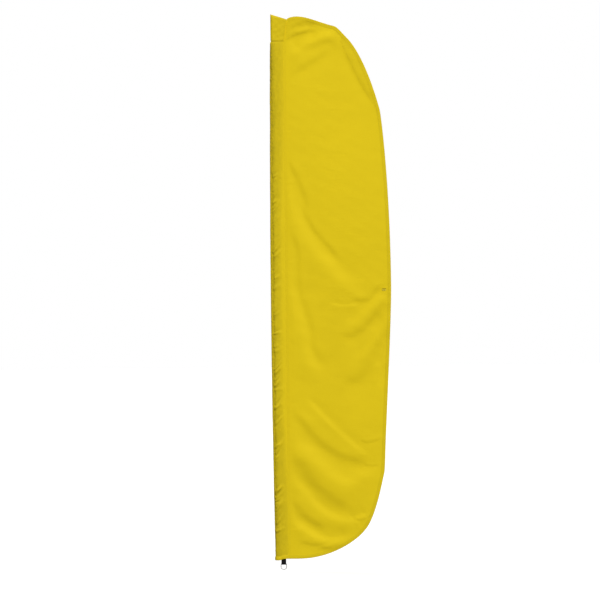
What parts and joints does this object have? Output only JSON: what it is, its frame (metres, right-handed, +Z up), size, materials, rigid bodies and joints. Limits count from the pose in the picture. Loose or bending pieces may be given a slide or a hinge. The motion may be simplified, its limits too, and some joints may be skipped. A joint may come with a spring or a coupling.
{
  "type": "feather flag with pole",
  "caption": "Tall blade-shaped fabric flag on a straight plug-together pole hidden in its side sleeve, with a webbing loop and D ring at the foot.",
  "frame": {"origin": "centre of the pole's foot face, where a spindle enters the pole", "axes": "+Z up along the pole, +X from the pole towards the flag's free edge, -Y the front"},
  "size_m": [0.6069, 0.0298, 2.8005],
  "materials": {
    "flag_polyester": "satin",
    "hem_polyester": "satin",
    "webbing": "matte",
    "ring_steel": "gloss",
    "pole_aluminium": "satin",
    "pole_fibreglass": "satin",
    "bush_plastic": "matte",
    "cap_rubber": "matte"
  },
  "bodies": {
    "base_section": {"foot_bush": "bush_plastic", "base_tube": "pole_fibreglass", "base_ferrule": "pole_aluminium"},
    "middle_section": {"middle_tube": "pole_fibreglass", "middle_stop_ring": "pole_aluminium", "middle_ferrule": "pole_aluminium"},
    "upper_section": {"upper_tube": "pole_fibreglass", "upper_stop_ring": "pole_aluminium", "upper_ferrule": "pole_aluminium"},
    "tip_section": {"tip_rod": "pole_fibreglass", "tip_stop_ring": "pole_aluminium"},
    "cap": {"tip_cap": "cap_rubber"},
    "flag": {"flag_panel": "flag_polyester", "pole_sleeve": "flag_polyester", "tip_pocket": "hem_polyester", "sleeve_mouth_hem": "hem_polyester", "head_hem": "hem_polyester", "fly_hem": "hem_polyester", "foot_hem": "hem_polyester", "head_facing": "flag_polyester", "fly_facing": "flag_polyester", "seam_binding_front": "hem_polyester", "seam_binding_back": "hem_polyester", "fly_bar_tack": "hem_polyester", "webbing_anchor": "webbing"},
    "tether_loop": {"webbing_loop": "webbing"},
    "tether_ring": {"d_ring": "ring_steel"}
  },
  "joints": [
    {"name": "middle_section_pull", "type": "slide", "parent": "base_section", "child": "middle_section", "axis": [0, 0, 1], "range_m": [0, 0.1]},
    {"name": "upper_section_pull", "type": "slide", "parent": "middle_section", "child": "upper_section", "axis": [0, 0, 1], "range_m": [0, 0.1]},
    {"name": "tip_section_pull", "type": "slide", "parent": "upper_section", "child": "tip_section", "axis": [0, 0, 1], "range_m": [0, 0.1]},
    {"name": "flag_swivel", "type": "hinge", "parent": "tip_section", "child": "cap", "pos_m": [0, 0, 2.72], "axis": [0, 0, 1], "continuous": true},
    {"name": "flag_slide", "type": "slide", "parent": "cap", "child": "flag", "axis": [0, 0, 1], "range_m": [0, 2.74]},
    {"name": "tab_swing", "type": "hinge", "parent": "flag", "child": "tether_loop", "pos_m": [0.0279, 0, -0.0126], "axis": [1, 0, 0], "range_deg": [-60, 60]},
    {"name": "ring_swing", "type": "hinge", "parent": "tether_loop", "child": "tether_ring", "pos_m": [0.0279, 0, -0.0294], "axis": [1, 0, 0], "range_deg": [-100, 100]}
  ]
}
